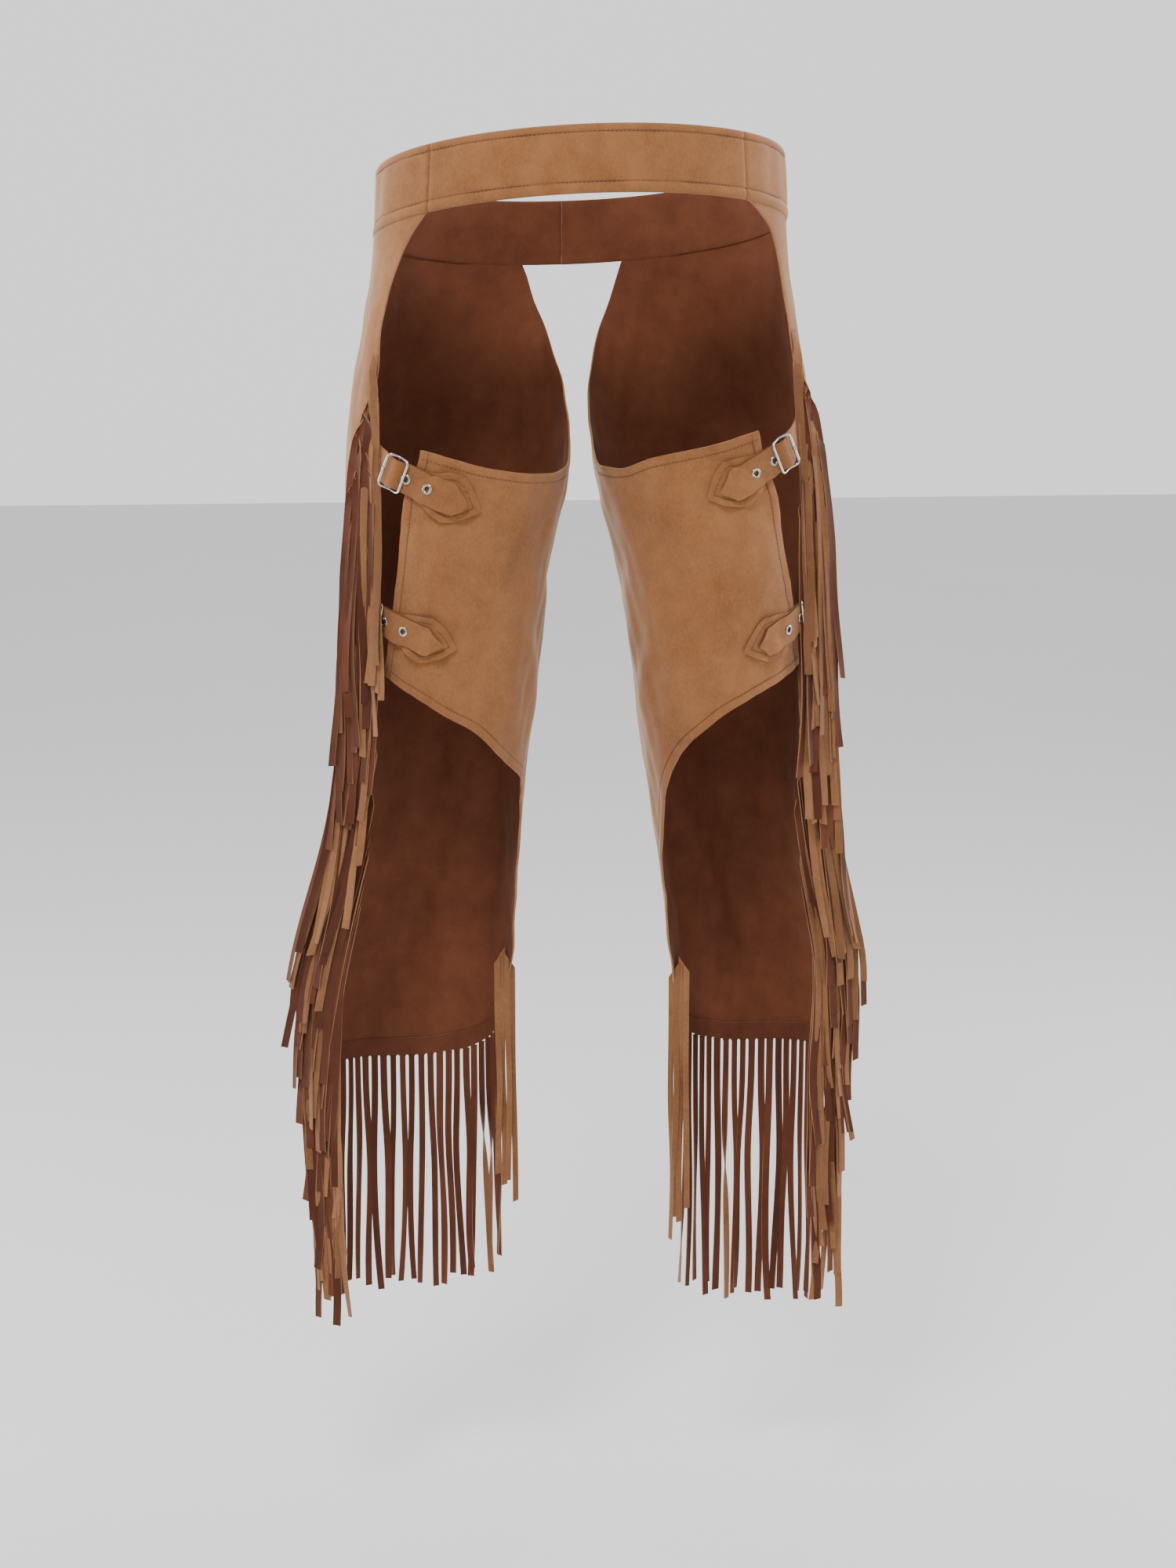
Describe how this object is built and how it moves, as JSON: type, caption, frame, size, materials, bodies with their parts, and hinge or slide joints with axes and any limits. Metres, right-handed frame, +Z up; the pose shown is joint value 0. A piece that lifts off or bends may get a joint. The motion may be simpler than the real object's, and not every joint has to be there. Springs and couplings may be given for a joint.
{
  "type": "fringed leather chaps",
  "caption": "Fringed western chaps in suede: waistband over a seat cut-out, wrap-round leg panels with buckled thigh straps, and long cut strands down the outer sides and hems.",
  "frame": {"origin": "middle of the waistband ring, where the wearer's hips hold it", "axes": "+Z up, +Y towards the wearer's back, +X towards the wearer's left"},
  "size_m": [0.4799, 0.2055, 1.0122],
  "materials": {
    "suede": "napped suede",
    "suede_strap": "napped suede",
    "fringe": "napped suede",
    "metal": "polished nickel"
  },
  "bodies": {
    "root": {"buckle_left_low": "metal", "buckle_left_top": "metal", "buckle_right_low": "metal", "buckle_right_top": "metal", "eyelet_left_low_1": "metal", "eyelet_left_low_2": "metal", "eyelet_left_top_1": "metal", "eyelet_left_top_2": "metal", "eyelet_right_low_1": "metal", "eyelet_right_low_2": "metal", "eyelet_right_top_1": "metal", "eyelet_right_top_2": "metal", "fringe_hem_left": "fringe", "fringe_hem_right": "fringe", "fringe_side_left": "fringe", "fringe_side_right": "fringe", "leg_left": "suede", "leg_right": "suede", "strap_patch_left_low": "suede_strap", "strap_patch_left_top": "suede_strap", "strap_patch_right_low": "suede_strap", "strap_patch_right_top": "suede_strap", "strap_tongue_left_low": "suede_strap", "strap_tongue_left_top": "suede_strap", "strap_tongue_right_low": "suede_strap", "strap_tongue_right_top": "suede_strap", "waistband_back": "suede", "waistband_left": "suede", "waistband_right": "suede"}
  },
  "joints": []
}
